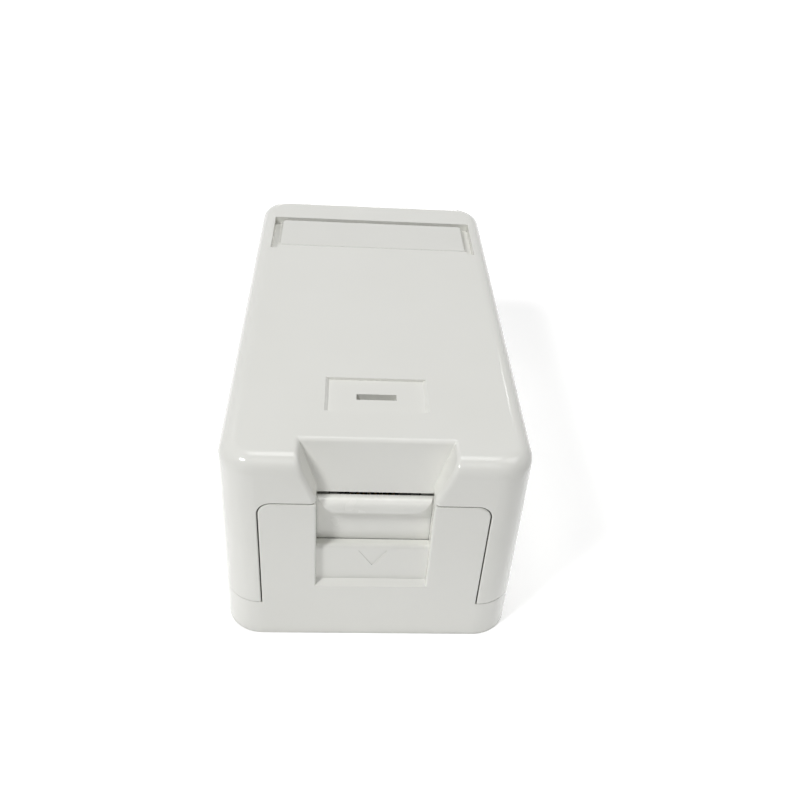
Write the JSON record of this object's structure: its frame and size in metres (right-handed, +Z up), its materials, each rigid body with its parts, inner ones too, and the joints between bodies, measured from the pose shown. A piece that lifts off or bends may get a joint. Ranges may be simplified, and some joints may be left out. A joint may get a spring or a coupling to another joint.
{
  "type": "surface mount jack box",
  "caption": "Small white surface box for a data socket: a moulded tray and lift-off cover with a sliding dust shutter, finger funnel, release slot and clear label window.",
  "frame": {"origin": "middle of the box's footprint, on the surface that the box is fixed to", "axes": "+X to the right when facing the window, +Y from the window to the rear along the length, +Z up from the mounting surface to the roof"},
  "size_m": [0.0498, 0.091, 0.04],
  "materials": {
    "base_plastic": "semi-gloss white",
    "cover_plastic": "semi-gloss white",
    "shutter_plastic": "semi-gloss white",
    "card": "matt white card",
    "clear_plastic": "clear",
    "jack_plastic": "satin white",
    "carrier_plastic": "matt black",
    "gold_contacts": "gold plated",
    "board": "solder mask",
    "terminal_plastic": "satin white",
    "tinned_blades": "tin plated",
    "cap_plastic": "frosted clear"
  },
  "bodies": {
    "base": {"base": "base_plastic", "jack_housing": "jack_plastic", "contact_carrier": "carrier_plastic", "circuit_board": "board", "idc_block": "terminal_plastic", "wire_cap_left": "cap_plastic", "wire_cap_right": "cap_plastic", "contact_wire_1": "gold_contacts", "contact_wire_2": "gold_contacts", "contact_wire_3": "gold_contacts", "contact_wire_4": "gold_contacts", "contact_wire_5": "gold_contacts", "contact_wire_6": "gold_contacts", "contact_wire_7": "gold_contacts", "contact_wire_8": "gold_contacts", "idc_blade_1": "tinned_blades", "idc_blade_2": "tinned_blades", "idc_blade_3": "tinned_blades", "idc_blade_4": "tinned_blades", "idc_blade_5": "tinned_blades", "idc_blade_6": "tinned_blades", "idc_blade_7": "tinned_blades", "idc_blade_8": "tinned_blades"},
    "shutter": {"shutter": "shutter_plastic"},
    "cover": {"cover": "cover_plastic", "label_card": "card"},
    "label_window": {"label_window": "clear_plastic"}
  },
  "joints": [
    {"name": "shutter_slide", "type": "slide", "parent": "base", "child": "shutter", "axis": [0, 0, -1], "range_m": [0, 0.0075]},
    {"name": "cover_lift", "type": "slide", "parent": "base", "child": "cover", "axis": [0, 0, 1], "range_m": [0, 0.045]},
    {"name": "label_window_lift", "type": "slide", "parent": "cover", "child": "label_window", "axis": [0, 0, 1], "range_m": [0, 0.012]}
  ]
}
